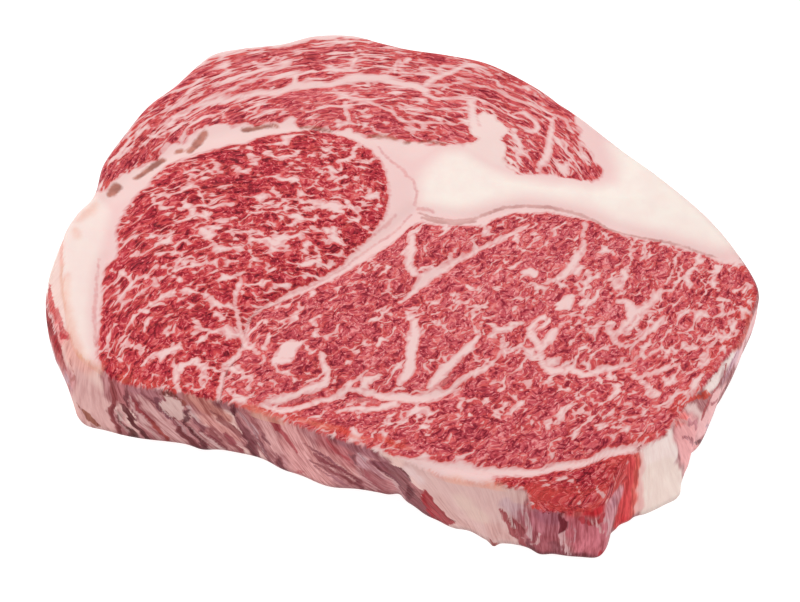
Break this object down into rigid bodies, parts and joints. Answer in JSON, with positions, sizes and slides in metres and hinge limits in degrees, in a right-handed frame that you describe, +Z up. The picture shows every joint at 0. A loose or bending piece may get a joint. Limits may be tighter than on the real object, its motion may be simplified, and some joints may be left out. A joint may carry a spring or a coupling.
{
  "type": "raw beef steak",
  "caption": "Thick raw marbled rib steak lying flat, with a cap muscle, fat seams, a fat rim and a small hanging flap of meat.",
  "frame": {"origin": "under the middle of the bounding box, on the surface the steak lies on", "axes": "+X along the slice's longest way, from the fat rim to the muscle's tip; +Y towards the cap muscle; +Z up, through the thickness"},
  "size_m": [0.1892, 0.1678, 0.0261],
  "materials": {
    "beef": "moist satin"
  },
  "bodies": {
    "root": {"steak": "beef"}
  },
  "joints": []
}
